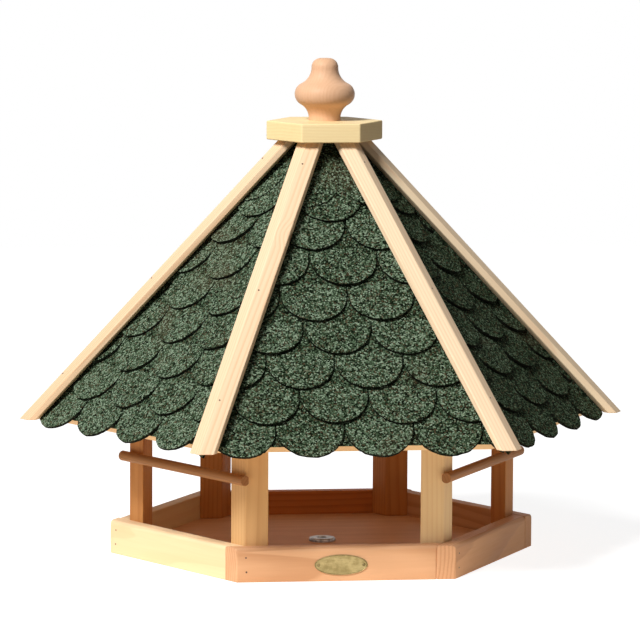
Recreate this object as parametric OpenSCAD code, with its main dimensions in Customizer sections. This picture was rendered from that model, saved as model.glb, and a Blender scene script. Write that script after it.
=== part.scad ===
// Hexagonal garden bird feeder. A six-sided tray with lapped rim boards carries six
// rhombic posts, and the posts carry a steep hipped roof: plain panels, courses of
// round-ended shingles, a batten along each hip, and a cap with a turned finial.
// The origin is the middle of the face it stands on, the front faces -Y and +Z is up.

/* [Tray] */
// Corner radius of the tray, over its rim boards
tray_r = 212; // [190:1:240]
// Height of the rim boards
rim_h = 33; // [24:1:45]
// Thickness of the rim boards
rim_t = 16.5; // [12:0.5:22]
// Radius of the rounded outer top edge of the rim boards
rim_round_r = 4.5; // [1:0.5:8]
// Thickness of the floor panel
floor_t = 9; // [5:0.5:14]

/* [Stand socket] */
// Diameter of the bore that takes the bolt of a stand
socket_bore_d = 10.5; // [6:0.5:12]
// Diameter of the barrel let into the floor
socket_barrel_d = 15; // [13.5:0.5:19]
// Diameter of the flange that lies on the floor
socket_flange_d = 26.5; // [22:0.5:36]
// Height of the flange above the floor
socket_flange_h = 3.5; // [2:0.5:6]
// Radius of the flange's rounded rim
socket_round_r = 1.8; // [0.5:0.1:1.9]

/* [Posts] */
// Side of a post's rhombic section
post_side = 23; // [16:0.5:30]

/* [Perches] */
// Diameter of the perch dowels
perch_d = 10; // [7:0.5:13]
// Height of the perch axis above the ground
perch_z = 97; // [70:1:110]
// Length of dowel that runs past the outer edge of each post
perch_overhang = 6; // [2:0.5:12]
// Depth of the flats that seat the dowels on the posts
perch_flat = 0.8; // [0.4:0.1:1.5]

/* [Roof] */
// Height at which the planes over the shingle tips meet
roof_peak_z = 441; // [430:1:460]
// Slope of the roof's faces in degrees
roof_slope = 51.1; // [48:0.1:54]
// Slope length from that peak to the tips of the lowest tabs
roof_len = 399; // [385:1:415]
// Thickness of the roof panels
panel_t = 10; // [6:0.5:14]
// Length of tab that overhangs the lower edge of a panel
tab_overhang = 15; // [8:0.5:20]

/* [Shingles] */
// Distance from tab to tab along a course
tab_pitch = 65.8; // [55:0.2:75]
// Width of the slots between tabs
tab_slot = 1.6; // [1:0.1:4]
// Nominal length of a course left bare by the next one
exposure = 38; // [34:0.5:42]
// Thickness of one shingle
shingle_t = 2.5; // [2:0.1:4]
// Thickness of the underlay on the panels
underlay_t = 1; // [0.5:0.1:2]
// Width of the underlay strip along each side of a hip
hip_strip_w = 10; // [6:0.5:14]

/* [Hip battens] */
// Width of the battens
batten_w = 25; // [18:0.5:32]
// Thickness of the battens along their ridge
batten_t = 14.3; // [10:0.1:18]
// Height of the battens' lower ends above the eave
batten_rise = 5; // [0:0.5:12]
// Depth by which the battens bed into the edges of the shingles
batten_bed = 0.5; // [0.3:0.1:1]

/* [Cap and finial] */
// Corner radius of the cap plate
cap_r = 58; // [50:1:70]
// Thickness of the cap plate
cap_t = 18.7; // [12:0.1:24]
// Height of the cap's underside above the ground
cap_z = 410.7; // [404:0.1:416]
// Height of the finial above the cap
finial_h = 61.5; // [56:0.5:72]
// Diameter of the finial's neck on the cap
finial_neck_d = 31.5; // [26:0.5:36]
// Height of the plain neck below the bulb
finial_neck_h = 2.5; // [0.5:0.5:4]
// Diameter of the finial's bulb
bulb_d = 59.5; // [54:0.5:70]
// Radius of the bulb's rounded edge
bulb_edge_r = 11.6; // [9:0.1:13]
// Height of the bulb's widest ring above the cap
bulb_z = 26; // [24:0.5:30]
// Diameter of the knob over the bulb
knob_d = 26.5; // [22:0.5:30]
// Height above the cap at which the knob runs out of its lower curve
knob_z = 52.4; // [47:0.1:52.5]
// Radius of the knob's rounded top edge
knob_round_r = 9; // [4:0.5:10]

/* [Oval plate] */
// Width of the oval plate on the front rim board
plate_w = 51.3; // [40:0.1:70]
// Height of the oval plate
plate_h = 19.7; // [12:0.1:22]
// Thickness of the oval plate
plate_t = 1; // [0.5:0.1:2]
// Height of the plate's centre above the ground
plate_z = 16; // [13:0.5:18]
// Offset of the plate's centre along the front, negative to the left
plate_x = -5.4; // [-30:0.1:30]

/* [Hidden] */
side_count = 6;
turn = 360 / side_count;
half_turn = turn / 2;

// Sides run anticlockwise from the front, and corner k follows side k
side_names = ["front", "front_right", "back_right", "back", "back_left", "front_left"];
corner_names = ["front_right", "right", "back_right", "back_left", "left", "front_left"];
perch_sides = [1, 3, 5];

$fn = 64;

// How far every cutting shape runs past what it cuts
overrun = 1;

// Distance from the middle to the outer and the inner faces of the rim boards
tray_a = tray_r * cos(half_turn);
rim_in_a = tray_a - rim_t;

// Radius of the posts' outer edges, in the inner corners of the rim
post_r = rim_in_a / cos(half_turn);

// A dowel lies on the posts' outer faces, less the depth of its flats
perch_a = rim_in_a + perch_d / 2 - perch_flat;
perch_len = post_r + 2 * perch_overhang;

// At every tab tip two shingles lie on the underlay
cover_t = underlay_t + 2 * shingle_t;
panel_len = roof_len - tab_overhang;
eave_z = roof_peak_z - roof_len * sin(roof_slope);

// Slope of the hips, their skew from the line of steepest slope in a roof face, and the
// angle at which the faces fall away from a batten's underside
hip_slope = atan(tan(roof_slope) * cos(half_turn));
hip_skew = atan(cos(roof_slope) * tan(half_turn));
hip_fall = acos(sin(roof_slope) * sin(hip_slope) * cos(half_turn) + cos(roof_slope) * cos(hip_slope));

// The shingles are cut square over the mitred panels, so their edges stop short of the hip
hip_inset = cover_t * tan(roof_slope);
batten_seat = hip_inset * sin(hip_skew) * sin(hip_fall) + batten_bed;

// Places of the tab tips along the slope, from the eave to the cap
course_shares = [1, 0.909, 0.81, 0.715, 0.62, 0.518, 0.418, 0.335, 0.29];
// Shift of each course along the eave, in pitches
course_shift_shares = [0.37, 0.755, 0.313, 0.898, 0.588, 0.076, 0.655, 0.945, 0.63];
// Shift of all the courses of a side, in pitches
side_shift_shares = [0, 0.42, 0.18, 0.66, 0.3, 0.84];

tab_r = (tab_pitch - tab_slot) / 2;
// A course runs on under the next ones for this share of the exposure
course_run_share = 1.9;
course_run = exposure * course_run_share;

// Radii of the curves that join the finial's neck and knob to its bulb
bulb_ring_r = bulb_d / 2 - bulb_edge_r;
function blend_r(start_r, rise) =
    let (inset = start_r - bulb_ring_r)
    (pow(inset, 2) + pow(rise, 2) - pow(bulb_edge_r, 2)) / (2 * (bulb_edge_r - inset));

function arc(centre, radius, from, to, steps) =
    [for (i = [0:steps])
        let (angle = from + (to - from) * i / steps)
        centre + radius * [cos(angle), sin(angle)]];

// Half length of a rim board at distance v from the middle, where it ends on the
// plane that lies at distance reach along the next side's normal
function lap_end(v, reach) = (reach - v * cos(turn)) / sin(turn);

module at_side(side) {
    rotate([0, 0, side * turn - 90])
        children();
}

module at_corner(corner) {
    rotate([0, 0, corner * turn + half_turn - 90])
        children();
}

// Frame on a roof face: +X runs down the slope from the peak and +Z points outwards
module on_slope(side) {
    at_side(side)
        translate([0, 0, roof_peak_z])
            rotate([0, roof_slope, 0])
                children();
}

module on_hip(corner) {
    at_corner(corner)
        translate([0, 0, roof_peak_z])
            rotate([0, hip_slope, 0])
                children();
}

// Sixth of the plan that belongs to one side or corner, up to the underside of the cap
module sector(low_z) {
    reach = 2 * roof_len;
    translate([0, 0, low_z])
        linear_extrude(cap_z - low_z)
            polygon([[0, 0], [reach, -reach * tan(half_turn)], [reach, reach * tan(half_turn)]]);
}

// Rectangle with its far upper corner rounded
module eased_profile(width, height, radius) {
    square([width, height - radius]);
    square([width - radius, height]);
    translate([width - radius, height - radius])
        circle(radius);
}

module floor_panel() {
    color("rosybrown")
        difference() {
            linear_extrude(floor_t)
                circle(post_r, $fn = side_count);
            translate([0, 0, -overrun])
                cylinder(d = socket_barrel_d, h = floor_t + 2 * overrun);
        }
}

module stand_socket() {
    color("silver")
        difference() {
            union() {
                cylinder(d = socket_barrel_d, h = floor_t + socket_flange_h / 2);
                translate([0, 0, floor_t])
                    rotate_extrude()
                        eased_profile(socket_flange_d / 2, socket_flange_h, socket_round_r);
            }
            translate([0, 0, -overrun])
                cylinder(d = socket_bore_d, h = floor_t + socket_flange_h + 2 * overrun);
        }
}

// Each board butts against the inside of the next one and covers the end of the last
module rim_plan() {
    polygon([
        [tray_a, -lap_end(tray_a, tray_a)],
        [tray_a, lap_end(tray_a, rim_in_a)],
        [rim_in_a, lap_end(rim_in_a, rim_in_a)],
        [rim_in_a, -lap_end(rim_in_a, tray_a)]
    ]);
}

module rim_board(side) {
    color("burlywood")
        at_side(side)
            intersection() {
                translate([0, 0, -overrun])
                    linear_extrude(rim_h + 2 * overrun)
                        rim_plan();
                translate([rim_in_a, 0, 0])
                    rotate([90, 0, 0])
                        linear_extrude(2 * tray_r, center = true)
                            eased_profile(rim_t, rim_h, rim_round_r);
            }
}

module post_plan() {
    polygon([
        [post_r, 0],
        [post_r - post_side * cos(turn), post_side * sin(turn)],
        [post_r - post_side, 0],
        [post_r - post_side * cos(turn), -post_side * sin(turn)]
    ]);
}

// Everything above the underside of one roof panel
module above_panel(side) {
    on_slope(side)
        translate([-roof_len, -roof_len, -cover_t - panel_t])
            cube(2 * roof_len);
}

module post(corner) {
    color("tan")
        difference() {
            at_corner(corner)
                translate([0, 0, floor_t])
                    linear_extrude(roof_peak_z - floor_t)
                        post_plan();
            for (side = [corner, corner + 1])
                above_panel(side);
        }
}

module perch(side) {
    color("peru")
        at_side(side)
            difference() {
                translate([perch_a, 0, perch_z])
                    rotate([90, 0, 0])
                        cylinder(d = perch_d, h = perch_len, center = true);
                for (end = [0, 1])
                    mirror([0, end, 0])
                        translate([rim_in_a - perch_d, post_r / 2 - post_side, perch_z - perch_d])
                            cube([perch_d, perch_len, 2 * perch_d]);
            }
}

module roof_panel(side) {
    color("wheat")
        intersection() {
            on_slope(side)
                translate([0, -roof_len, -cover_t - panel_t])
                    cube([panel_len, 2 * roof_len, panel_t]);
            at_side(side)
                sector(0);
        }
}

// Strip of round-ended tabs, with its tips at the given distance down the slope
module course_outline(tip, shift) {
    half_w = tip * cos(roof_slope) * tan(half_turn);
    tabs = ceil(half_w / tab_pitch) + 1;
    strip_w = 2 * tabs * tab_pitch;
    translate([tip - exposure - strip_w, -strip_w / 2])
        square([strip_w, strip_w]);
    for (tab = [-tabs:tabs])
        translate([tip - tab_r, (tab + shift) * tab_pitch]) {
            circle(tab_r);
            translate([tab_r - exposure - overrun, -tab_r])
                square([exposure + overrun - tab_r, 2 * tab_r]);
        }
}

// A course lies tilted: its tips ride on the course below and its back on the panel
module course(tip, run, drop, shift) {
    lift = drop / run;
    back_z = underlay_t / 2 - cover_t;
    intersection() {
        rotate([90, 0, 0])
            linear_extrude(2 * roof_len, center = true)
                polygon([
                    [tip + overrun, lift * overrun],
                    [tip + overrun, back_z],
                    [tip - run, back_z],
                    [tip - run, -drop]
                ]);
        translate([0, 0, -cover_t - overrun])
            linear_extrude(cover_t + 2 * overrun)
                course_outline(tip, shift);
    }
}

module batten_bar(corner, height) {
    on_hip(corner)
        translate([0, -batten_w / 2, -batten_seat])
            cube([2 * roof_len, batten_w, height]);
}

// Underlay on the panel, with a raised strip along each hip under the batten
module underlay() {
    translate([0, -roof_len, -cover_t])
        cube([panel_len, 2 * roof_len, underlay_t]);
    for (way = [-1, 1])
        translate([hip_inset, 0, -cover_t])
            rotate([0, 0, way * hip_skew])
                translate([0, -hip_strip_w, 0])
                    cube([(roof_len - hip_inset) * cos(hip_skew), 2 * hip_strip_w, underlay_t + shingle_t]);
}

// Space over one panel, cut square to it along both hips
module over_panel() {
    half_w = (2 * roof_len - hip_inset) * tan(hip_skew);
    translate([0, 0, -cover_t])
        linear_extrude(cover_t + overrun)
            polygon([[hip_inset, 0], [2 * roof_len, -half_w], [2 * roof_len, half_w]]);
}

module all_courses(shift) {
    top = len(course_shares) - 1;
    for (i = [0:top]) {
        tip = roof_len * course_shares[i];
        course(
            tip,
            i < top ? course_run : tip,
            i < top ? course_run_share * shingle_t : shingle_t,
            shift + course_shift_shares[i]
        );
    }
}

module shingles(side) {
    color("darkslategray")
        difference() {
            on_slope(side)
                intersection() {
                    union() {
                        underlay();
                        all_courses(side_shift_shares[side]);
                    }
                    over_panel();
                }
            for (corner = [side - 1, side])
                batten_bar(corner, cover_t);
            translate([-roof_len, -roof_len, cap_z])
                cube(2 * roof_len);
        }
}

// The top is roof-shaped, with its two faces parallel to the faces of the roof
module batten_profile() {
    ridge_z = batten_t - batten_seat;
    edge_z = ridge_z - batten_w / 2 * tan(hip_fall);
    polygon([
        [-batten_w / 2, -batten_seat], [batten_w / 2, -batten_seat],
        [batten_w / 2, edge_z], [0, ridge_z], [-batten_w / 2, edge_z]
    ]);
}

// Both ends of a batten are cut level, above the eave and against the cap
module hip_batten(corner) {
    color("blanchedalmond")
        intersection() {
            on_hip(corner)
                rotate([90, 0, 90])
                    linear_extrude(2 * roof_len)
                        batten_profile();
            at_corner(corner)
                sector(eave_z + batten_rise);
        }
}

module cap_plate() {
    color("khaki")
        translate([0, 0, cap_z])
            cylinder(r = cap_r, h = cap_t, $fn = side_count);
}

// Neck, bulb and knob run into each other in smooth curves
module finial_profile() {
    neck_r = finial_neck_d / 2;
    knob_r = knob_d / 2;
    low_r = blend_r(neck_r, bulb_z - finial_neck_h);
    high_r = blend_r(knob_r, knob_z - bulb_z);
    low_angle = atan2(bulb_z - finial_neck_h, bulb_ring_r - neck_r - low_r);
    high_angle = atan2(bulb_z - knob_z, bulb_ring_r - knob_r - high_r);
    polygon(concat(
        [[0, 0], [neck_r, 0]],
        arc([neck_r + low_r, finial_neck_h], low_r, 180, low_angle, 8),
        arc([bulb_ring_r, bulb_z], bulb_edge_r, low_angle - 180, high_angle + 180, 16),
        arc([knob_r + high_r, knob_z], high_r, high_angle + 360, 180, 8),
        arc([knob_r - knob_round_r, finial_h - knob_round_r], knob_round_r, 0, 90, 8),
        [[0, finial_h]]
    ));
}

module finial() {
    color("tan")
        translate([0, 0, cap_z + cap_t])
            rotate_extrude()
                finial_profile();
}

module oval_plate() {
    color("gold")
        translate([plate_x, -tray_a, plate_z])
            rotate([90, 0, 0])
                linear_extrude(plate_t)
                    polygon([for (i = [0:$fn - 1])
                        [plate_w / 2 * cos(360 * i / $fn), plate_h / 2 * sin(360 * i / $fn)]]);
}

floor_panel();
stand_socket();
cap_plate();
finial();
oval_plate();
for (side = [0:side_count - 1]) {
    rim_board(side);
    roof_panel(side);
    shingles(side);
}
for (corner = [0:side_count - 1]) {
    post(corner);
    hip_batten(corner);
}
for (side = perch_sides)
    perch(side);
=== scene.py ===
import math
import random

import bmesh
import bpy
from mathutils import Matrix, Vector


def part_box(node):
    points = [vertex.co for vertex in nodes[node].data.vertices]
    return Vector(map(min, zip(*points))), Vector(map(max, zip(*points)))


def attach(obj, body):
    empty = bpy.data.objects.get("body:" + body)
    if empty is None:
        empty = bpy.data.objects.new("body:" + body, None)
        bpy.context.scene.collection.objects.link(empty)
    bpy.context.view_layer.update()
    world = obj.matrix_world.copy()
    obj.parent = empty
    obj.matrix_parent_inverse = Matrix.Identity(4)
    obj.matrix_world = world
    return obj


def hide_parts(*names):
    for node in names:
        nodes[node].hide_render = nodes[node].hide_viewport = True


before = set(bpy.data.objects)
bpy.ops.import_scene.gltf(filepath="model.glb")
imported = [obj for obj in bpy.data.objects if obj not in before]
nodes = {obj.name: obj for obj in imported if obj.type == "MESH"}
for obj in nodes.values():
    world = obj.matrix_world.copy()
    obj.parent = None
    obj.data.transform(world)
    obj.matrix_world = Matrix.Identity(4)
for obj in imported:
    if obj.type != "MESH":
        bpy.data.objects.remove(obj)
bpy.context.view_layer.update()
print("frame loaded,", len(nodes), "nodes")

mm = 0.001
hair = 1e-7  # points closer than this are one
quarter = math.radians(90)
sideTurn = 60  # degrees from one side to the next
frontTurn = -90  # the front faces -Y
sideNames = ["front", "front_right", "back_right", "back", "back_left", "front_left"]
cornerNames = ["front_right", "right", "back_right", "back_left", "left", "front_left"]

# the roof's lines, as the solids have them
roof = {
    "peakZ": 0.441,
    "slope": math.radians(51.1),
    "length": 0.399,
    "coverT": 0.006,
    "panelLength": 0.384,
    "battenRidge": 0.012814,
    "capZ": 0.4107,
}
halfTurn = math.radians(sideTurn / 2)
hipSlope = math.atan(math.tan(roof["slope"]) * math.cos(halfTurn))
hipSkew = math.atan(math.cos(roof["slope"]) * math.tan(halfTurn))
hipFall = math.acos(
    math.sin(roof["slope"]) * math.sin(hipSlope) * math.cos(halfTurn)
    + math.cos(roof["slope"]) * math.cos(hipSlope)
)
hipInset = roof["coverT"] * math.tan(roof["slope"])


def turnZ(degrees):
    return Matrix.Rotation(math.radians(degrees), 4, "Z")


def sideFrame(side):  # X outwards, Y along the side
    return turnZ(side * sideTurn + frontTurn)


def cornerFrame(corner):  # X outwards through the corner
    return turnZ((corner + 0.5) * sideTurn + frontTurn)


def slopeFrame(side):  # X down the slope from the peak, Z out of the roof
    lift = Matrix.Translation((0, 0, roof["peakZ"]))
    return sideFrame(side) @ lift @ Matrix.Rotation(roof["slope"], 4, "Y")


def hipFrame(corner):  # X down the hip from the peak
    lift = Matrix.Translation((0, 0, roof["peakZ"]))
    return cornerFrame(corner) @ lift @ Matrix.Rotation(hipSlope, 4, "Y")


def addObject(name, data):
    thing = bpy.data.objects.new(name, data)
    bpy.context.scene.collection.objects.link(thing)
    return thing


def meshOf(bm, name):
    mesh = bpy.data.meshes.new(name)
    bm.to_mesh(mesh)
    bm.free()
    return mesh


# camera, light and floor

view = {
    "azimuth": -7.33244,
    "elevation": 6.68273,
    "roll": 0.320989,
    "distance": 4.539415,
    "aimRight": -0.0034184,
    "aimUp": 0.23067983,
    "lens": 257.12,
    "sensor": 36,
}


def placeCamera():
    azimuth, elevation, roll = (math.radians(view[key]) for key in ("azimuth", "elevation", "roll"))
    back = Vector((
        math.sin(azimuth) * math.cos(elevation),
        -math.cos(azimuth) * math.cos(elevation),
        math.sin(elevation),
    ))
    right = Vector((math.cos(azimuth), math.sin(azimuth), 0))
    up = back.cross(right)
    across = right * math.cos(roll) + up * math.sin(roll)
    rise = up * math.cos(roll) - right * math.sin(roll)
    place = Matrix((across, rise, back)).transposed().to_4x4()
    place.translation = right * view["aimRight"] + Vector((0, 0, view["aimUp"])) + back * view["distance"]
    data = bpy.data.cameras.new("camera")
    data.lens = view["lens"]
    data.sensor_width = view["sensor"]
    data.sensor_fit = "HORIZONTAL"
    camera = addObject("camera", data)
    camera.matrix_world = place
    bpy.context.scene.camera = camera


class Wire:  # a socket that takes part in sums
    def __init__(self, tree, socket=None):
        self.tree = tree
        self.socket = socket

    def make(self, kind, settings=None, links=None, out=0):
        node = self.tree.nodes.new(kind)
        for key, value in (settings or {}).items():
            if key == "stops":
                setStops(node.color_ramp, value)
            else:
                setattr(node, key, value)
        for key, value in (links or {}).items():
            if isinstance(value, Wire):
                self.tree.links.new(value.socket, node.inputs[key])
            else:
                node.inputs[key].default_value = value
        return Wire(self.tree, node.outputs[out]) if len(node.outputs) else None

    def outlet(self, name):  # another output of the same node
        return Wire(self.tree, self.socket.node.outputs[name])

    def maths(self, operation, first, second=0.0, clamp=False):
        settings = {"operation": operation, "use_clamp": clamp}
        return self.make("ShaderNodeMath", settings, {0: first, 1: second})

    def __add__(self, other):
        return self.maths("ADD", self, other)

    def __sub__(self, other):
        return self.maths("SUBTRACT", self, other)

    def __mul__(self, other):
        return self.maths("MULTIPLY", self, other)

    def __truediv__(self, other):
        return self.maths("DIVIDE", self, other)

    def __pow__(self, other):
        return self.maths("POWER", self, other)

    def __radd__(self, other):
        return self.maths("ADD", other, self)

    def __rsub__(self, other):
        return self.maths("SUBTRACT", other, self)

    def __rmul__(self, other):
        return self.maths("MULTIPLY", other, self)

    def __rtruediv__(self, other):
        return self.maths("DIVIDE", other, self)

    def __rpow__(self, other):
        return self.maths("POWER", other, self)


def setStops(ramp, stops):
    while len(ramp.elements) < len(stops):
        ramp.elements.new(1.0)
    for element, (position, colour) in zip(ramp.elements, stops):
        element.position = position
        element.color = colour


def paint(*display):  # display colour, 0 to 255, as the shader wants it
    linear = []
    for level in display:
        share = level / 255
        linear.append(((share + 0.055) / 1.055) ** 2.4 if level > 10 else share / 12.92)
    return (*linear, 1.0)


def newTree(owner):
    owner.use_nodes = True
    owner.node_tree.nodes.clear()
    return Wire(owner.node_tree)


def newMaterial(name):
    material = bpy.data.materials.new(name)
    return material, newTree(material)


def finishSurface(wire, links):
    shader = wire.make("ShaderNodeBsdfPrincipled", {}, links)
    wire.make("ShaderNodeOutputMaterial", {}, {"Surface": shader})


def bumped(wire, height, depth, strength):
    return wire.make("ShaderNodeBump", {}, {"Strength": strength, "Distance": depth, "Height": height})


def mixed(wire, amount, first, second, blend="MIX"):
    settings = {"data_type": "RGBA", "blend_type": blend}
    return wire.make("ShaderNodeMix", settings, {0: amount, 6: first, 7: second}, out=2)


def ranged(wire, value, low, high, toLow=0.0, toHigh=1.0, smooth=True):
    settings = {"interpolation_type": "SMOOTHSTEP" if smooth else "LINEAR"}
    return wire.make("ShaderNodeMapRange", settings, {0: value, 1: low, 2: high, 3: toLow, 4: toHigh})


def noised(wire, vector, scale, detail=2.0, rough=0.5, out="Fac"):
    links = {"Vector": vector, "Scale": scale, "Detail": detail, "Roughness": rough}
    return wire.make("ShaderNodeTexNoise", {}, links, out)


def streaked(wire, vector, stretch, detail=2.0, rough=0.5):  # noise drawn out along a piece
    drawn = wire.make("ShaderNodeVectorMath", {"operation": "MULTIPLY"}, {0: vector, 1: stretch})
    return noised(wire, drawn, 1.0, detail, rough)


def celled(wire, vector, scale):
    return wire.make("ShaderNodeTexVoronoi", {}, {"Vector": vector, "Scale": scale}, "Distance")


def attribute(wire, name, out="Fac"):
    settings = {"attribute_type": "GEOMETRY", "attribute_name": name}
    return wire.make("ShaderNodeAttribute", settings, {}, out)


def objectPlace(wire):
    return wire.make("ShaderNodeTexCoord", {}, {}, "Object")


even = 0.5  # the middle of a noise's values

studio = {
    "white": (1, 1, 1, 1),
    "fill": 0.12,
    "keyAim": (0, 0, 0.2),
    "keyDirection": (-0.48, -0.53, 0.70),
    "keyDistance": 4.0,
    "keySize": 1.2,
    "keyLevel": 1.26,
    "floorSize": 6.0,
    "floorPale": (0.95, 0.95, 0.95, 1),
    "floorWhite": 0.55,
    "floorGlow": 1.57,
    "bounceFrom": 0.34,
    "bounceTo": 0.8,
    "bounceNear": (1.0, 0.86, 0.7, 1),
    "bounceFar": (0.12, 0.12, 0.12, 1),
    "bounceGlow": 0.3,
}


def seenRays(wire):  # rays that should meet the white surroundings
    direct = wire.make("ShaderNodeLightPath", {}, {}, "Is Camera Ray")
    glossy = direct.outlet("Is Glossy Ray")
    through = direct.outlet("Is Transmission Ray")
    return wire.maths("ADD", direct + glossy, through, clamp=True)


def lightStudio():
    world = bpy.data.worlds.new("studio")
    bpy.context.scene.world = world
    wire = newTree(world)
    strength = studio["fill"] + seenRays(wire) * (1 - studio["fill"])
    background = wire.make("ShaderNodeBackground", {}, {"Color": studio["white"], "Strength": strength})
    wire.make("ShaderNodeOutputWorld", {}, {"Surface": background})

    direction = Vector(studio["keyDirection"]).normalized()
    data = bpy.data.lights.new("key", "AREA")
    data.shape = "SQUARE"
    data.size = studio["keySize"]
    data.energy = studio["keyLevel"] * (math.pi * studio["keyDistance"]) ** 2
    key = addObject("key", data)
    key.location = Vector(studio["keyAim"]) + direction * studio["keyDistance"]
    key.rotation_euler = direction.to_track_quat("Z", "Y").to_euler()


def layFloor():  # white to the camera, and warm light thrown back near the object
    bm = bmesh.new()
    bmesh.ops.create_grid(bm, x_segments=1, y_segments=1, size=studio["floorSize"] / 2)
    floor = addObject("floor", meshOf(bm, "floor"))
    material, wire = newMaterial("floor_white")
    away = wire.make("ShaderNodeVectorMath", {"operation": "LENGTH"}, {0: objectPlace(wire)}, "Value")
    far = ranged(wire, away, studio["bounceFrom"], studio["bounceTo"])
    bounce = mixed(wire, far, studio["bounceNear"], studio["bounceFar"])
    plain = wire.make("ShaderNodeBsdfDiffuse", {}, {"Color": bounce})
    glow = wire.make("ShaderNodeEmission", {}, {"Color": bounce, "Strength": studio["bounceGlow"]})
    thrown = wire.make("ShaderNodeAddShader", {}, {0: plain, 1: glow})
    lit = wire.make("ShaderNodeBsdfDiffuse", {}, {"Color": studio["floorPale"]})
    white = wire.make("ShaderNodeEmission", {}, {"Color": studio["white"], "Strength": studio["floorGlow"]})
    shown = wire.make("ShaderNodeMixShader", {}, {0: studio["floorWhite"], 1: lit, 2: white})
    surface = wire.make("ShaderNodeMixShader", {}, {0: seenRays(wire), 1: thrown, 2: shown})
    wire.make("ShaderNodeOutputMaterial", {}, {"Surface": surface})
    floor.data.materials.append(material)


bpy.context.scene.view_settings.view_transform = "Standard"
placeCamera()
lightStudio()
layFloor()
print("camera, light and floor placed")


# materials

pine = {
    "ringWidth": 0.0031, "lateFrom": 0.35, "lateFull": 0.9, "lateEnd": 0.93,
    "taper": 0.012,
    "warp": 0.007, "warpStretch": (2.2, 15, 15),
    "ripple": 0.0012, "rippleStretch": (9, 60, 60),
    "fibreTone": 0.35, "fibreStretch": (22, 620, 620),
    "streakTone": 0.5, "streakStretch": (2.5, 120, 120),
    "broadTone": 0.6, "broadStretch": (1.6, 20, 20),
    "shadeFrom": -0.25, "shadeTo": 0.9,
    "knotScale": 19.0, "knotSize": 0.14, "knotCore": 0.75, "knotRimReach": 1.35,
    "swell": 0.007, "swellReach": 3.2,
    "knot": paint(150, 84, 52), "knotCover": 0.55, "knotLate": 0.35,
    "knotRim": paint(96, 52, 32), "knotRimCover": 0.75,
    "endCover": 0.12,
    "fibreRough": 0.3, "lateGloss": 0.08, "specular": 0.14,
    "fibreHeight": 0.6, "lateHeight": 0.4, "knotSink": 0.3, "bumpDepth": 0.00022, "bumpStrength": 0.7,
}

# name in this script, material, early wood, late wood, ring contrast, share without knots, roughness
woodLooks = [
    ("batten", "pine_batten", (248, 228, 194), (230, 188, 148), 0.35, 0.84, 0.58),
    ("cap", "pine_cap", (250, 228, 176), (238, 204, 146), 0.2, 0.95, 0.58),
    ("finial", "pine_turned", (228, 184, 148), (208, 158, 120), 0.14, 0.99, 0.5),
    ("rim", "pine_rim", (226, 180, 140), (200, 150, 110), 0.7, 0.97, 0.58),
    # a lighter, yellower copy of the rim wood: painted light on the left-facing rim boards
    ("rimPale", "pine_rim_pale", (240, 214, 174), (226, 190, 144), 0.35, 0.95, 0.58),
    # a darker, redder copy of the rim wood: painted shade inside the back rim
    ("rimBack", "pine_rim_back", (214, 140, 80), (184, 108, 54), 0.5, 0.97, 0.58),
    ("post", "pine_post", (234, 192, 136), (212, 162, 108), 0.4, 0.95, 0.58),
    # a lighter copy of the post wood: painted light on the front-right post
    ("postPale", "pine_post_pale", (250, 222, 174), (236, 198, 146), 0.4, 0.95, 0.58),
    # a darker, redder copy of the post wood: painted shade on the posts under the roof at the sides and back
    ("postBack", "pine_post_back", (214, 154, 94), (186, 118, 62), 0.4, 0.95, 0.58),
    # a darker copy of the pine: painted shade on the perches under the roof
    ("perch", "pine_dowel", (178, 130, 86), (146, 98, 58), 0.4, 0.99, 0.58),
    ("panel", "pine_panel", (238, 206, 160), (216, 174, 124), 0.4, 0.95, 0.58),
]


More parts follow.
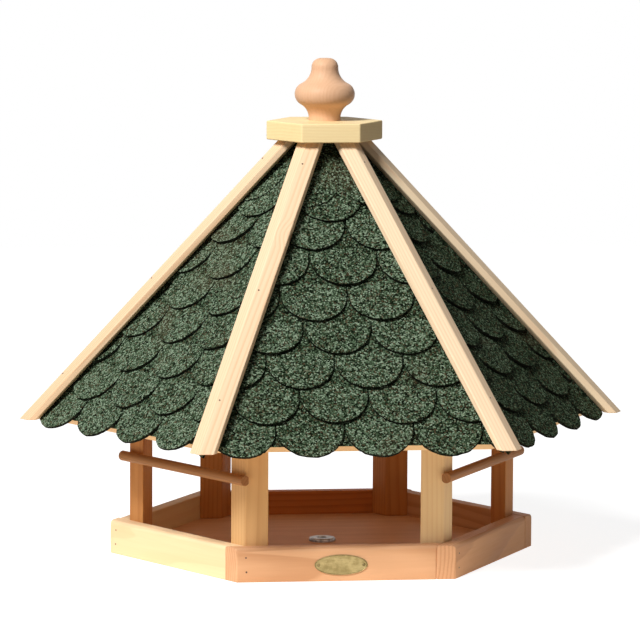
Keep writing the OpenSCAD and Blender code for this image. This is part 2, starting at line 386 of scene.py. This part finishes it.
def pineMaterial(name, early, late, contrast, knotless, rough):
    p = pine
    material, wire = newMaterial(name)
    place = attribute(wire, "grain", "Vector")
    cut = attribute(wire, "cut")
    tone = attribute(wire, "tone")
    along = wire.make("ShaderNodeSeparateXYZ", {}, {0: place}, "X")
    across = along.outlet("Y")
    deep = along.outlet("Z")

    reach = celled(wire, place, p["knotScale"])
    pick = wire.make("ShaderNodeSeparateColor", {}, {0: reach.outlet("Color")})
    kept = wire.maths("GREATER_THAN", pick, knotless)
    knot = ranged(wire, reach, p["knotSize"] * p["knotCore"], p["knotSize"], 1, 0) * kept
    knotRim = ranged(wire, reach, p["knotSize"], p["knotSize"] * p["knotRimReach"], 1, 0) * kept
    swell = ranged(wire, reach, 0.0, p["knotSize"] * p["swellReach"], 1, 0) * kept

    # rings round a heart line that lies beside the board
    warp = streaked(wire, place, p["warpStretch"]) - even
    ripple = streaked(wire, place, p["rippleStretch"]) - even
    radius = (across * across + deep * deep) ** 0.5 + along * p["taper"]
    radius = radius + warp * p["warp"] + ripple * p["ripple"] + swell * p["swell"]
    ring = wire.maths("FRACT", radius / p["ringWidth"])
    lateWood = ranged(wire, ring, p["lateFrom"], p["lateFull"]) * ranged(wire, ring, p["lateEnd"], 1.0, 1, 0)
    fibre = streaked(wire, place, p["fibreStretch"], detail=3.0, rough=0.6)
    streak = streaked(wire, place, p["streakStretch"], detail=3.0, rough=0.6)
    broad = streaked(wire, place, p["broadStretch"], detail=1.0)

    shade = lateWood * contrast + (streak - even) * p["streakTone"] + (fibre - even) * p["fibreTone"]
    shade = shade + (broad - even) * p["broadTone"] + tone
    colour = mixed(wire, ranged(wire, shade, p["shadeFrom"], p["shadeTo"], smooth=False), early, late)
    colour = mixed(wire, knotRim * p["knotRimCover"], colour, p["knotRim"])
    colour = mixed(wire, knot * (p["knotCover"] + lateWood * p["knotLate"]), colour, p["knot"])
    colour = mixed(wire, cut * p["endCover"], colour, late, "MULTIPLY")
    height = fibre * p["fibreHeight"] + lateWood * p["lateHeight"] - knot * p["knotSink"]
    finishSurface(wire, {
        "Base Color": colour,
        "Roughness": rough + (fibre - even) * p["fibreRough"] - lateWood * p["lateGloss"],
        "Specular IOR Level": p["specular"],
        "Normal": bumped(wire, height, p["bumpDepth"], p["bumpStrength"]),
    })
    return material


woods = {}
for key, name, early, late, contrast, knotless, rough in woodLooks:
    woods[key] = pineMaterial(name, paint(*early), paint(*late), contrast, knotless, rough)

granules = {
    "size": 0.0014,
    "shake": 0.0007, "shakeScale": 900.0,
    "stops": [
        (0.0, paint(8, 15, 6)),
        (0.25, paint(31, 44, 27)),
        (0.5, paint(60, 77, 55)),
        (0.75, paint(90, 110, 86)),
        (1.0, paint(136, 154, 130)),
    ],
    "pickTone": 1.2,
    "patchTone": 0.4, "patchScale": 90.0, "patchHeight": 0.8,
    "grimeTone": 0.2, "grimeScale": 13.0, "grimeFrom": 0.56, "grimeTo": 0.74, "grimeCover": 0.3,
    "brown": paint(88, 70, 50), "brownFrom": 0.88, "brownCover": 0.6,
    "edge": paint(17, 17, 14), "gapFrom": 0.45, "gapTo": 0.75, "gapCover": 0.5,
    "cutCover": 0.9, "cutFlat": 0.6,
    "rough": 0.86, "roughSpread": 0.12, "specular": 0.02, "bumpDepth": 0.0008, "bumpStrength": 0.9,
}


def shingleMaterial():
    g = granules
    material, wire = newMaterial("granule_shingle")
    place = objectPlace(wire)
    tone = attribute(wire, "tone")
    cut = attribute(wire, "cut")
    shaken = noised(wire, place, g["shakeScale"], detail=1.0, out="Color")
    jitter = wire.make("ShaderNodeVectorMath", {"operation": "SCALE"}, {0: shaken, "Scale": g["shake"]})
    moved = wire.make("ShaderNodeVectorMath", {"operation": "ADD"}, {0: place, 1: jitter})
    reach = celled(wire, moved, 1 / g["size"])
    pick = wire.make("ShaderNodeSeparateColor", {}, {0: reach.outlet("Color")}, "Red")
    brownPick = pick.outlet("Green")
    patch = noised(wire, place, g["patchScale"], detail=3.0, rough=0.6)
    grime = noised(wire, place, g["grimeScale"])
    level = even + (pick - even) * g["pickTone"] + (patch - even) * g["patchTone"]
    level = level + (grime - even) * g["grimeTone"] + tone
    brown = wire.maths("GREATER_THAN", brownPick, g["brownFrom"])
    dirty = ranged(wire, grime, g["grimeFrom"], g["grimeTo"])
    gap = ranged(wire, reach, g["gapFrom"], g["gapTo"])
    colour = wire.make("ShaderNodeValToRGB", {"stops": g["stops"]}, {0: level})
    colour = mixed(wire, brown * g["brownCover"], colour, g["brown"])
    colour = mixed(wire, dirty * g["grimeCover"], colour, g["brown"])
    colour = mixed(wire, gap * g["gapCover"], colour, g["edge"])
    colour = mixed(wire, cut * g["cutCover"], colour, g["edge"])
    height = (1 - reach) * (1 - cut * g["cutFlat"]) + patch * g["patchHeight"]
    finishSurface(wire, {
        "Base Color": colour,
        "Roughness": g["rough"] + pick * g["roughSpread"],
        "Specular IOR Level": g["specular"],
        "Normal": bumped(wire, height, g["bumpDepth"], g["bumpStrength"]),
    })
    return material


brass = {
    "pale": paint(188, 168, 116), "dull": paint(150, 132, 84), "paleFrom": 0.3, "paleTo": 0.7,
    "dark": paint(70, 58, 30), "darkCover": 0.6,
    "cloudScale": 130.0, "rubStretch": (160, 160, 900), "rubTone": 0.3, "rubHeight": 0.4,
    "metal": 0.85, "metalLoss": 0.2, "rough": 0.34, "roughSpread": 0.22,
    "bumpDepth": 0.00012, "bumpStrength": 0.5,
}


def brassMaterial():
    b = brass
    material, wire = newMaterial("aged_brass")
    place = objectPlace(wire)
    cloud = noised(wire, place, b["cloudScale"], detail=4.0, rough=0.6)
    rub = streaked(wire, place, b["rubStretch"])
    shade = cloud + (rub - even) * b["rubTone"]
    colour = mixed(wire, ranged(wire, shade, b["paleFrom"], b["paleTo"]), b["dull"], b["pale"])
    colour = mixed(wire, attribute(wire, "edge") * b["darkCover"], colour, b["dark"])
    finishSurface(wire, {
        "Base Color": colour,
        "Metallic": b["metal"] - cloud * b["metalLoss"],
        "Roughness": b["rough"] + cloud * b["roughSpread"],
        "Normal": bumped(wire, cloud + rub * b["rubHeight"], b["bumpDepth"], b["bumpStrength"]),
    })
    return material


steel = {
    "cloudScale": 240.0, "brightFrom": 0.3, "brightTo": 0.7,
    "metal": 0.92, "metalLoss": 0.1, "rough": 0.26, "roughSpread": 0.3,
    "bumpDepth": 0.0001, "bumpStrength": 0.4,
    "zinc": {"bright": paint(206, 204, 200), "dull": paint(132, 130, 128)},
    "rusty": {"bright": paint(128, 108, 92), "dull": paint(84, 66, 54)},
}


def steelMaterial(name, look):
    s = steel
    material, wire = newMaterial(name)
    cloud = noised(wire, objectPlace(wire), s["cloudScale"], detail=3.0, rough=0.6)
    bright = ranged(wire, cloud, s["brightFrom"], s["brightTo"])
    finishSurface(wire, {
        "Base Color": mixed(wire, bright, look["dull"], look["bright"]),
        "Metallic": s["metal"] - cloud * s["metalLoss"],
        "Roughness": s["rough"] + cloud * s["roughSpread"],
        "Normal": bumped(wire, cloud, s["bumpDepth"], s["bumpStrength"]),
    })
    return material


board = {
    "light": paint(234, 192, 164), "dark": paint(214, 170, 142), "lightFrom": 0.35, "lightTo": 0.75,
    "streakTone": 0.6, "streakStretch": (7, 90, 90),
    "fibreTone": 0.2, "fibreStretch": (40, 900, 900),
    "cloudTone": 0.3, "cloudScale": 14.0,
    "plyStretch": (3, 3, 650), "plyFrom": 0.4, "plyTo": 0.6,
    "rough": 0.5, "roughSpread": 0.2, "specular": 0.14, "bumpDepth": 0.00015, "bumpStrength": 0.5,
}


def floorBoardMaterial():
    b = board
    material, wire = newMaterial("brown_plywood")
    place = attribute(wire, "grain", "Vector")
    cut = attribute(wire, "cut")
    streak = streaked(wire, place, b["streakStretch"], detail=4.0, rough=0.6)
    fibre = streaked(wire, place, b["fibreStretch"])
    cloud = noised(wire, place, b["cloudScale"])
    plies = ranged(wire, streaked(wire, place, b["plyStretch"], detail=0.0), b["plyFrom"], b["plyTo"])
    shade = streak * b["streakTone"] + cloud * b["cloudTone"] + fibre * b["fibreTone"]
    colour = mixed(wire, ranged(wire, shade, b["lightFrom"], b["lightTo"]), b["dark"], b["light"])
    colour = mixed(wire, cut * plies, colour, b["dark"], "MULTIPLY")
    finishSurface(wire, {
        "Base Color": colour,
        "Roughness": b["rough"] + streak * b["roughSpread"],
        "Specular IOR Level": b["specular"],
        "Normal": bumped(wire, fibre + streak, b["bumpDepth"], b["bumpStrength"]),
    })
    return material


shingleFinish = shingleMaterial()
brassFinish = brassMaterial()
steelFinish = steelMaterial("zinc_steel", steel["zinc"])
bradFinish = steelMaterial("dull_brad", steel["rusty"])
floorFinish = floorBoardMaterial()
print("materials made")


# pieces

smoothBelow = math.radians(38)  # edges that turn further stay sharp


def addPiece(bm, name, material, replaced=()):
    bm.normal_update()
    mesh = meshOf(bm, name)
    mesh.materials.append(material)
    mesh.shade_smooth()
    mesh.set_sharp_from_angle(angle=smoothBelow)
    piece = addObject(name, mesh)
    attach(piece, "root")
    if replaced:
        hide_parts(*replaced)
    return piece


def keepFlat(piece):  # broad faces stay flat beside their eased edges
    modifier = piece.modifiers.new("flat faces", "WEIGHTED_NORMAL")
    modifier.keep_sharp = True
    modifier.weight = 100


def turningEdges(bm, angle):  # edges where two faces turn by more than the angle
    return [e for e in bm.edges if len(e.link_faces) == 2 and e.calc_face_angle(0) > angle]


def easeEdges(bm, edges, width, segments):
    bmesh.ops.bevel(
        bm, geom=edges, offset=width, offset_type="OFFSET", affect="EDGES",
        segments=segments, profile=0.5, material=-1, clamp_overlap=True,
    )


def planeCut(bm, point, normal, within=hair, **clear):
    geom = bm.verts[:] + bm.edges[:] + bm.faces[:]
    return bmesh.ops.bisect_plane(bm, geom=geom, dist=within, plane_co=point, plane_no=normal, **clear)


def trim(bm, point, normal):  # takes off what lies beyond a plane and closes the cut
    cut = planeCut(bm, point, normal, clear_outer=True)
    rims = [e for e in cut["geom_cut"] if isinstance(e, bmesh.types.BMEdge) and e.is_boundary]
    bmesh.ops.holes_fill(bm, edges=rims, sides=0)


def markFaces(bm, tone, cutOf):
    toneLayer = bm.faces.layers.float.new("tone")
    cutLayer = bm.faces.layers.float.new("cut")
    for face in bm.faces:
        face[toneLayer] = tone
        face[cutLayer] = cutOf(face.normal)


grain = {
    "alongShift": 3.0,
    "heartFrom": 0.03,
    "heartTo": 0.07,
    "deepShift": 0.05,
    "toneSpread": 0.08,
    "endFacing": 0.6,
}


def markGrain(bm, boardPlace, seed, tone=0.0, sawn=1.0):
    chance = random.Random(seed)
    shift = Vector((
        chance.uniform(-grain["alongShift"], grain["alongShift"]),
        chance.uniform(grain["heartFrom"], grain["heartTo"]),
        chance.uniform(-grain["deepShift"], grain["deepShift"]),
    ))
    tone += chance.uniform(-grain["toneSpread"], grain["toneSpread"])
    grainLayer = bm.verts.layers.float_vector.new("grain")
    toBoard = boardPlace.inverted()
    lengthways = boardPlace.to_3x3() @ Vector((1, 0, 0))
    for vert in bm.verts:
        vert[grainLayer] = toBoard @ vert.co + shift
    bm.normal_update()
    markFaces(bm, tone, lambda normal: sawn if abs(normal.dot(lengthways)) > grain["endFacing"] else 0.0)


batten = {"halfW": 0.0125, "sideLow": 0.0015, "flatHalf": 0.005, "flatZ": -0.001486}


def undercut(bm, place):  # lower edges planed away, so that a batten stands clear of the shingles
    across = batten["halfW"] - batten["flatHalf"]
    rise = batten["sideLow"] - batten["flatZ"]
    for way in (-1, 1):
        point = place @ Vector((0, way * batten["halfW"], batten["sideLow"]))
        trim(bm, point, place.to_3x3() @ Vector((0, way * rise, -across)).normalized())


timber = {
    "ease": 0.0009, "rimEase": 0.0011, "postEase": 0.0012, "capEase": 0.0014, "floorEase": 0.0005,
    "segments": 3, "turn": math.radians(25), "weld": 2e-6, "flatWithin": math.radians(1.0),
    # the left-facing rims get the painted light, the back rim the painted shade
    "rimWoods": ["rim", "rim", "rim", "rimBack", "rimPale", "rimPale"],
    # the front-right post gets the painted light; the right, back and left posts get the painted shade
    "postWoods": ["postPale", "postBack", "postBack", "postBack", "postBack", "post"],
    # painted light and shade per hip batten: each tone darkens its batten to the light it shows
    "battenPaintedLight": [0.1, 0.0, 0.1, 0.2, 0.5, 0.3],
    "perchSides": [1, 3, 5],
}
alongY = Matrix.Rotation(quarter, 4, "Z")
upright = Matrix.Rotation(-quarter, 4, "Y")


def easedBoard(node, boardPlace, material, slot, ease=timber["ease"], tone=0.0):
    bm = bmesh.new()
    bm.from_mesh(nodes[node].data)
    bmesh.ops.remove_doubles(bm, verts=bm.verts, dist=timber["weld"])
    bmesh.ops.dissolve_limit(
        bm, angle_limit=timber["flatWithin"], use_dissolve_boundaries=False,
        verts=bm.verts, edges=bm.edges, delimit=set(),
    )
    if slot == "battens":
        undercut(bm, boardPlace)
    easeEdges(bm, turningEdges(bm, timber["turn"]), ease, timber["segments"])
    bmesh.ops.recalc_face_normals(bm, faces=bm.faces)
    markGrain(bm, boardPlace, node, tone)
    keepFlat(addPiece(bm, node + "_wood", material, [node]))


for side, name in enumerate(sideNames):
    rimWood = woods[timber["rimWoods"][side]]
    easedBoard("rim_" + name, sideFrame(side) @ alongY, rimWood, "rim", timber["rimEase"])
    easedBoard("roof_panel_" + name, slopeFrame(side) @ alongY, woods["panel"], "roof_panels")
for corner, name in enumerate(cornerNames):
    postWood = woods[timber["postWoods"][corner]]
    battenLight = timber["battenPaintedLight"][corner]
    easedBoard("post_" + name, cornerFrame(corner) @ upright, postWood, "posts", timber["postEase"])
    easedBoard("hip_batten_" + name, hipFrame(corner), woods["batten"], "battens", tone=battenLight)
for side in timber["perchSides"]:
    easedBoard("perch_" + sideNames[side], sideFrame(side) @ alongY, woods["perch"], "perches")
easedBoard("cap_plate", Matrix.Identity(4), woods["cap"], "cap", timber["capEase"])
easedBoard("floor_panel", Matrix.Identity(4), floorFinish, "floor", timber["floorEase"])
print("timber eased")


# millimetres
turned = {
    "neckR": 15.75, "neckH": 2.5, "bulbR": 29.75, "bulbEdgeR": 11.6, "bulbZ": 26.0,
    "knobR": 13.25, "knobZ": 52.4, "knobRoundR": 9.0, "height": 61.5,
    "hollowSteps": 14, "edgeSteps": 24, "topSteps": 12, "steps": 96,
}


def arcPoints(centreX, centreZ, radius, fromAngle, toAngle, steps):
    angles = [math.radians(fromAngle + (toAngle - fromAngle) * i / steps) for i in range(steps + 1)]
    return [(centreX + radius * math.cos(a), centreZ + radius * math.sin(a)) for a in angles]


def blendRadius(startR, rise):  # of the hollow that runs from a straight into the bulb's edge
    edge = turned["bulbEdgeR"]
    inset = startR - (turned["bulbR"] - edge)
    return (inset**2 + rise**2 - edge**2) / (2 * (edge - inset))


def finialProfile():
    t = turned
    ringR = t["bulbR"] - t["bulbEdgeR"]
    low = blendRadius(t["neckR"], t["bulbZ"] - t["neckH"])
    high = blendRadius(t["knobR"], t["knobZ"] - t["bulbZ"])
    lowAngle = math.degrees(math.atan2(t["bulbZ"] - t["neckH"], ringR - t["neckR"] - low))
    highAngle = math.degrees(math.atan2(t["bulbZ"] - t["knobZ"], ringR - t["knobR"] - high))
    top = t["height"] - t["knobRoundR"]
    edgeFrom = lowAngle - 180
    edgeTo = highAngle + 180
    points = [(0, 0), (t["neckR"], 0)]
    points += arcPoints(t["neckR"] + low, t["neckH"], low, 180, lowAngle, t["hollowSteps"])
    points += arcPoints(ringR, t["bulbZ"], t["bulbEdgeR"], edgeFrom, edgeTo, t["edgeSteps"])[1:]
    points += arcPoints(t["knobR"] + high, t["knobZ"], high, highAngle + 360, 180, t["hollowSteps"])[1:]
    points += arcPoints(t["knobR"] - t["knobRoundR"], top, t["knobRoundR"], 0, 90, t["topSteps"])[1:]
    return points + [(0, t["height"])]


def spunPiece(points, lift, steps):
    bm = bmesh.new()
    verts = [bm.verts.new((r * mm, 0, lift + z * mm)) for r, z in points]
    edges = [bm.edges.new(pair) for pair in zip(verts, verts[1:])]
    bmesh.ops.spin(
        bm, geom=verts + edges, cent=(0, 0, 0), axis=(0, 0, 1), dvec=(0, 0, 0),
        angle=math.tau, steps=steps, use_merge=True, use_duplicate=False,
    )
    bmesh.ops.remove_doubles(bm, verts=bm.verts, dist=hair)
    bmesh.ops.recalc_face_normals(bm, faces=bm.faces)
    return bm


finialBm = spunPiece(finialProfile(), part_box("finial")[0].z, turned["steps"])
markGrain(finialBm, upright, "finial", sawn=0.0)
addPiece(finialBm, "finial_turned", woods["finial"], ["finial"])

# millimetres
ring = {
    "boreR": 5.25, "barrelR": 7.5, "flangeR": 13.25, "flangeH": 3.5, "floorT": 9.0,
    "roundR": 1.8, "roundSteps": 8, "lipR": 0.8, "lipSteps": 4, "steps": 64,
}


def socketProfile():
    r = ring
    top = r["floorT"] + r["flangeH"]
    points = [(r["boreR"], 0), (r["barrelR"], 0), (r["barrelR"], r["floorT"]), (r["flangeR"], r["floorT"])]
    points += arcPoints(r["flangeR"] - r["roundR"], top - r["roundR"], r["roundR"], 0, 90, r["roundSteps"])
    points += arcPoints(r["boreR"] + r["lipR"], top - r["lipR"], r["lipR"], 90, 180, r["lipSteps"])
    return points + [(r["boreR"], 0)]


socketBm = spunPiece(socketProfile(), 0.0, ring["steps"])
addPiece(socketBm, "socket_ring", steelFinish, ["stand_socket"])
print("turned pieces made")


# millimetres; a ring has its share of the oval and its height, and darker bands lie between some rings, on
# the plate's outer side and in the groove inside its raised rim
plate = {
    "width": 51.3, "height": 19.7, "x": -5.4, "z": 16.0, "segments": 96,
    "rings": [
        (1.0, 0.0), (1.0, 0.75), (0.988, 1.0), (0.97, 1.08),
        (0.95, 1.0), (0.93, 0.76), (0.9, 0.7), (0.5, 0.8),
    ],
    "darkBands": [1, 0, 0, 0, 1, 1, 0],
    "evenAbove": 0.6,
    "pinR": 1.6, "pinFlat": 0.45, "pinAt": 21.8, "pinRise": 0.72, "pinDirt": 0.8,
    "pinSides": 16, "pinRows": 8,
}


def plateRing(bm, share, z):  # rings near the edge keep an even distance from it
    halfW = plate["width"] / 2 * mm
    halfH = plate["height"] / 2 * mm
    inset = (1 - share) * halfH
    size = (halfW * share, halfH * share, 1)
    if share > plate["evenAbove"]:
        size = (halfW - inset, halfH - inset, 1)
    verts = bmesh.ops.create_circle(bm, cap_ends=False, segments=plate["segments"], radius=1.0)["verts"]
    bmesh.ops.scale(bm, vec=size, verts=verts)
    bmesh.ops.translate(bm, vec=(0, 0, z * mm), verts=verts)
    return bm.edges[:][-plate["segments"]:]


def ovalPlate():
    bm = bmesh.new()
    edgeLayer = bm.faces.layers.float.new("edge")
    loops = [plateRing(bm, share, z) for share, z in plate["rings"]]
    for low, high, darkBands in zip(loops, loops[1:], plate["darkBands"]):
        for face in bmesh.ops.bridge_loops(bm, edges=low + high)["faces"]:
            face[edgeLayer] = darkBands
    for edges in (loops[0], loops[-1]):
        bmesh.ops.contextual_create(bm, geom=edges)
    for way in (-1, 1):
        pin = bmesh.ops.create_uvsphere(
            bm, u_segments=plate["pinSides"], v_segments=plate["pinRows"], radius=plate["pinR"] * mm,
        )["verts"]
        bmesh.ops.scale(bm, vec=(1, 1, plate["pinFlat"]), verts=pin)
        bmesh.ops.translate(bm, vec=(way * plate["pinAt"] * mm, 0, plate["pinRise"] * mm), verts=pin)
        for face in {f for v in pin for f in v.link_faces}:
            face[edgeLayer] = plate["pinDirt"]
    bmesh.ops.recalc_face_normals(bm, faces=bm.faces)
    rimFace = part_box("oval_plate")[1].y
    place = Matrix.Translation((plate["x"] * mm, rimFace, plate["z"] * mm))
    bmesh.ops.transform(bm, matrix=place @ Matrix.Rotation(quarter, 4, "X"), verts=bm.verts)
    addPiece(bm, "oval_plate_brass", brassFinish, ["oval_plate"])


ovalPlate()
print("oval plate made")


shingle = {
    "tips": [1, 0.909, 0.81, 0.715, 0.62, 0.518, 0.418, 0.335, 0.29],
    "shifts": [0.37, 0.755, 0.313, 0.898, 0.588, 0.076, 0.655, 0.945, 0.63],
    "sideShifts": [0, 0.42, 0.18, 0.66, 0.3, 0.84],
    # painted light and shade per roof side: the right-facing sides darker, the left-facing sides lighter
    "sidePaintedLight": [0.0, -0.2, -0.1, 0.0, 0.04, 0.06],
    "seed": 100,
    "pitch": 0.0658, "slot": 0.0016, "exposure": 0.038, "thick": 0.0032,
    "run": 0.0722, "drop": 0.00475, "neckLap": 0.006,
    "segments": 36, "rows": [0.3, 0.55, 0.8], "halfAt": 1e-5, "cutNear": 1e-6, "straightNear": 1e-4,
    "edge": 0.0006, "edgeTurn": 0.9, "edgeFacing": 0.4,
    "wander": 0.00045, "sideWander": 0.4,
    "curl": 0.0022, "curlLeast": 0.45, "curlPower": 2.5, "lean": 0.35,
    "slip": 0.0008, "sidle": 0.0003, "twist": 0.008, "toneSpread": 0.04,
    # the sheets under the tabs are painted darker, as shade in the slots between the tabs
    "sheetW": 0.8, "sheetSink": 0.0003, "sheetShare": 0.6, "sheetShadeTone": -0.15,
    "underlayT": 0.001,
    # the strip under each hip batten is painted darker, as shade under the batten
    "hipStrip": 0.005, "hipProud": 0.0003, "hipShadeTone": -0.2, "hipShade": 0.3,
}
tabR = (shingle["pitch"] - shingle["slot"]) / 2
tabNeck = shingle["exposure"] + shingle["neckLap"] - tabR
courseLift = shingle["drop"] / shingle["run"]


def newVerts(made):
    return [v for v in made["geom"] if isinstance(v, bmesh.types.BMVert)]


def joinInto(bm, part):
    holder = meshOf(part, "holder")
    bm.from_mesh(holder)
    bpy.data.meshes.remove(holder)


def tabOutline():  # half a disc with a straight neck behind it
    tab = bmesh.new()
    bmesh.ops.create_circle(tab, cap_ends=True, segments=shingle["segments"], radius=tabR)
    planeCut(tab, (shingle["halfAt"], 0, 0), (1, 0, 0), shingle["cutNear"], clear_inner=True)
    straight = [e for e in tab.edges if all(abs(v.co.x) < shingle["straightNear"] for v in e.verts)]
    neck = bmesh.ops.extrude_edge_only(tab, edges=straight)
    bmesh.ops.translate(tab, vec=(-tabNeck, 0, 0), verts=newVerts(neck))
    for share in shingle["rows"]:
        planeCut(tab, (tabR * share, 0, 0), (1, 0, 0), shingle["cutNear"])
    return tab


def curlTab(tab, chance):  # the tip lifts, a little more on one side, and the rim is uneven
    lean = chance.uniform(-shingle["lean"], shingle["lean"])
    curl = shingle["curl"] * chance.uniform(shingle["curlLeast"], 1.0)
    for vert in tab.verts:
        reach = max(0.0, (vert.co.x + tabNeck) / (tabR + tabNeck))
        vert.co.z += curl * reach ** shingle["curlPower"] * (1 + lean * vert.co.y / tabR)
        if vert.co.x > 0:
            vert.co.x += chance.uniform(-1, 1) * shingle["wander"]
            vert.co.y += chance.uniform(-shingle["sideWander"], shingle["sideWander"]) * shingle["wander"]


def thickenTab(tab):
    bmesh.ops.recalc_face_normals(tab, faces=tab.faces)
    if sum(f.normal.z for f in tab.faces) < 0:
        bmesh.ops.reverse_faces(tab, faces=tab.faces)
    lower = bmesh.ops.extrude_face_region(tab, geom=tab.faces[:])
    bmesh.ops.translate(tab, vec=(0, 0, -shingle["thick"]), verts=newVerts(lower))
    bmesh.ops.recalc_face_normals(tab, faces=tab.faces)
    sharp = turningEdges(tab, shingle["edgeTurn"])
    upper = [e for e in sharp if all(v.co.z > -shingle["thick"] / 2 for v in e.verts)]
    easeEdges(tab, upper, shingle["edge"], 1)
    tab.normal_update()


def addTab(bm, chance, place, tone):
    tab = tabOutline()
    curlTab(tab, chance)
    thickenTab(tab)
    tone += chance.uniform(-shingle["toneSpread"], shingle["toneSpread"])
    markFaces(tab, tone, lambda normal: 1.0 if normal.z < shingle["edgeFacing"] else 0.0)
    bmesh.ops.transform(tab, matrix=place, verts=tab.verts)
    joinInto(bm, tab)


def slab(length, width, thick, place, tone, dark=0.0):
    sheet = bmesh.new()
    bmesh.ops.create_cube(sheet, size=1.0)
    bmesh.ops.scale(sheet, vec=(length, width, thick), verts=sheet.verts)
    bmesh.ops.translate(sheet, vec=place, verts=sheet.verts)
    markFaces(sheet, tone, lambda normal: dark)
    return sheet


def addSheet(bm, fromX, toX, topZ, thick, tilt=0.0):
    middle = ((fromX + toX) / 2, 0, topZ - thick / 2)
    sheet = slab(toX - fromX, shingle["sheetW"], thick, middle, shingle["sheetShadeTone"])
    for vert in sheet.verts:
        vert.co.z += tilt * (vert.co.x - toX)
    joinInto(bm, sheet)


# a strip along the hip under the batten, painted darker as shade
def addHipStrip(bm, way):
    length = (roof["panelLength"] - hipInset) / math.cos(hipSkew)
    thick = roof["coverT"] + shingle["hipProud"]
    middle = (length / 2, 0, thick / 2 - roof["coverT"])
    strip = slab(length, shingle["hipStrip"] * 2, thick, middle, shingle["hipShadeTone"], shingle["hipShade"])
    place = Matrix.Translation((hipInset, 0, 0)) @ Matrix.Rotation(way * hipSkew, 4, "Z")
    bmesh.ops.transform(strip, matrix=place, verts=strip.verts)
    joinInto(bm, strip)


def addCourse(bm, chance, tip, back, shift, tone):
    half = tip * math.cos(roof["slope"]) * math.tan(halfTurn)
    count = math.ceil(half / shingle["pitch"]) + 1
    sheetTop = -courseLift * shingle["exposure"] - shingle["sheetSink"]
    sheetT = shingle["thick"] * shingle["sheetShare"]
    addSheet(bm, tip - back, tip - shingle["exposure"], sheetTop, sheetT, courseLift)
    for k in range(-count, count + 1):
        y = (k + shift) * shingle["pitch"]
        if abs(y) > half + tabR:
            continue
        place = Matrix.Translation((
            tip - tabR + chance.uniform(-1, 1) * shingle["slip"],
            y + chance.uniform(-1, 1) * shingle["sidle"],
            -courseLift * tabR,
        ))
        place = place @ Matrix.Rotation(chance.uniform(-shingle["twist"], shingle["twist"]), 4, "Z")
        place = place @ Matrix.Rotation(-math.atan(courseLift), 4, "Y")
        addTab(bm, chance, place, tone)


def shingleSide(side):
    chance = random.Random(shingle["seed"] + side)
    bm = bmesh.new()
    bm.faces.layers.float.new("tone")
    bm.faces.layers.float.new("cut")
    underlayTop = shingle["underlayT"] - roof["coverT"]
    addSheet(bm, 0.0, roof["panelLength"], underlayTop, shingle["underlayT"])
    for way in (-1, 1):
        addHipStrip(bm, way)
    top = len(shingle["tips"]) - 1
    for i, share in enumerate(shingle["tips"]):
        tip = share * roof["length"]
        back = shingle["run"] if i < top else tip
        shift = shingle["shifts"][i] + shingle["sideShifts"][side]
        addCourse(bm, chance, tip, back, shift, shingle["sidePaintedLight"][side])
    for way in (-1, 1):
        trim(bm, (hipInset, 0, 0), (-math.sin(hipSkew), way * math.cos(hipSkew), 0))
    bmesh.ops.transform(bm, matrix=slopeFrame(side), verts=bm.verts)
    trim(bm, (0, 0, roof["capZ"]), (0, 0, 1))
    name = "shingles_" + sideNames[side]
    addPiece(bm, name + "_tabs", shingleFinish, [name])


for side in range(len(sideNames)):
    shingleSide(side)
print("shingles laid")


brad = {
    "radius": 0.001, "headShare": 0.8, "sink": 0.0003, "rise": 0.00025, "sides": 12, "seed": 7,
    "along": [0.080, 0.237, 0.367], "across": 0.0027, "alongSpread": 0.003, "spread": 0.001,
    "rimUp": [0.010, 0.024], "rimIn": 0.009, "rimHalf": 0.106,
}


def addBrad(bm, place):
    made = bmesh.ops.create_cone(
        bm, cap_ends=True, segments=brad["sides"], radius1=brad["radius"],
        radius2=brad["radius"] * brad["headShare"], depth=brad["sink"] + brad["rise"],
    )["verts"]
    bmesh.ops.translate(bm, vec=(0, 0, (brad["rise"] - brad["sink"]) / 2), verts=made)
    bmesh.ops.transform(bm, matrix=place, verts=made)


def driveBrads():
    chance = random.Random(brad["seed"])
    bm = bmesh.new()
    for corner in range(len(cornerNames)):
        for x in brad["along"]:
            across = brad["across"] + chance.uniform(-brad["spread"], brad["spread"])
            along = x + chance.uniform(-brad["alongSpread"], brad["alongSpread"])
            top = roof["battenRidge"] - across * math.tan(hipFall)
            place = Matrix.Translation((along, across, top)) @ Matrix.Rotation(-hipFall, 4, "X")
            addBrad(bm, hipFrame(corner) @ place)
    addPiece(bm, "batten_brads", bradFinish)
    bm = bmesh.new()
    rimFace = -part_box("rim_front")[0].y
    outwards = Matrix.Rotation(quarter, 4, "Y")
    for side in range(len(sideNames)):
        for z in brad["rimUp"]:
            y = brad["rimIn"] - brad["rimHalf"] + chance.uniform(-brad["spread"], brad["spread"])
            addBrad(bm, sideFrame(side) @ Matrix.Translation((rimFace, y, z)) @ outwards)
    addPiece(bm, "rim_brads", bradFinish)


driveBrads()
print("brads driven")
